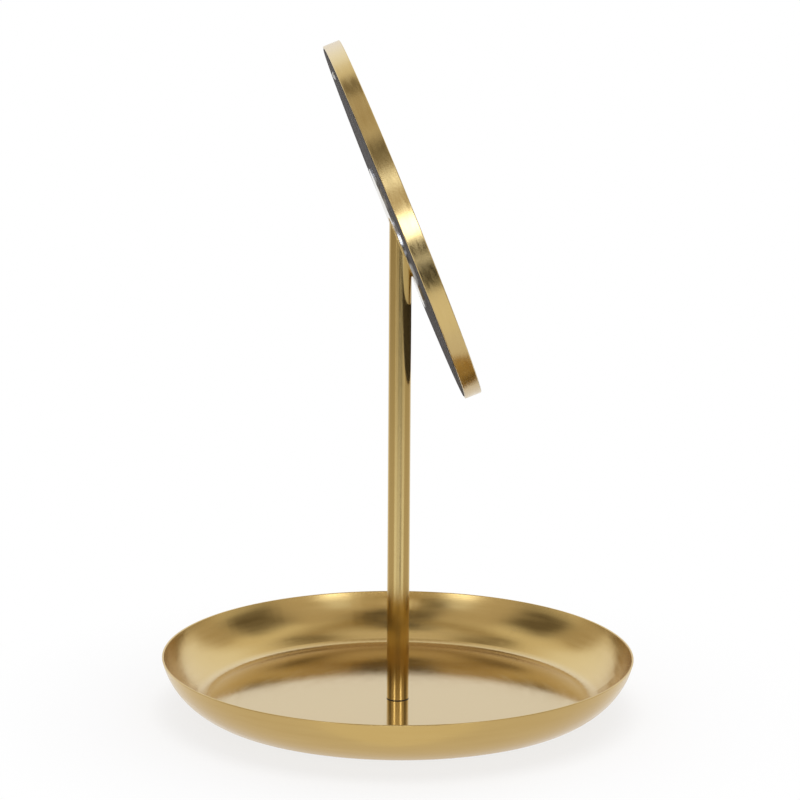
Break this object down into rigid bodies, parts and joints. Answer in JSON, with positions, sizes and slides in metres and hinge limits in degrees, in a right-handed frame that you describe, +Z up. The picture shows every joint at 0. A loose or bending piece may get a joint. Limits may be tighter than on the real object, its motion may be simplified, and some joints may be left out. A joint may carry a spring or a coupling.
{
  "type": "dresser vanity tray",
  "caption": "Round brass dish tray with a tilted round mirror on a central post that turns about the dish's centre line.",
  "frame": {"origin": "centre of the underside, on the surface the tray stands on", "axes": "+Z up along the post, +X the way the mirror faces"},
  "size_m": [0.2002, 0.2002, 0.284],
  "materials": {
    "brass_dish": "satin, spun",
    "brass_post": "satin",
    "brass_band": "brushed along the band",
    "eva_pad": "matt foam",
    "nylon": "matt",
    "steel": "zinc plated",
    "bright_plate": "bright, polished",
    "dark_back": "satin, gunmetal",
    "foam": "matt foam tape",
    "mirror": "polished"
  },
  "bodies": {
    "tray": {"tray_dish": "brass_dish", "base_pad": "eva_pad", "foot_washer": "nylon", "under_washer": "nylon"},
    "mirror_head": {"steel_washer": "steel", "wave_washer": "steel", "post_screw": "steel", "foot_insert": "steel", "post_tube": "brass_post", "mounting_plate": "bright_plate", "plate_rivets": "bright_plate", "back_plate": "dark_back", "back_screw": "steel", "rim_tabs": "brass_post", "frame_band": "brass_band", "foam_ring": "foam", "mirror_glass": "mirror"}
  },
  "joints": [
    {"name": "post_swivel", "type": "hinge", "parent": "tray", "child": "mirror_head", "pos_m": [0, 0, 0.0041], "axis": [0, 0, 1], "continuous": true}
  ]
}
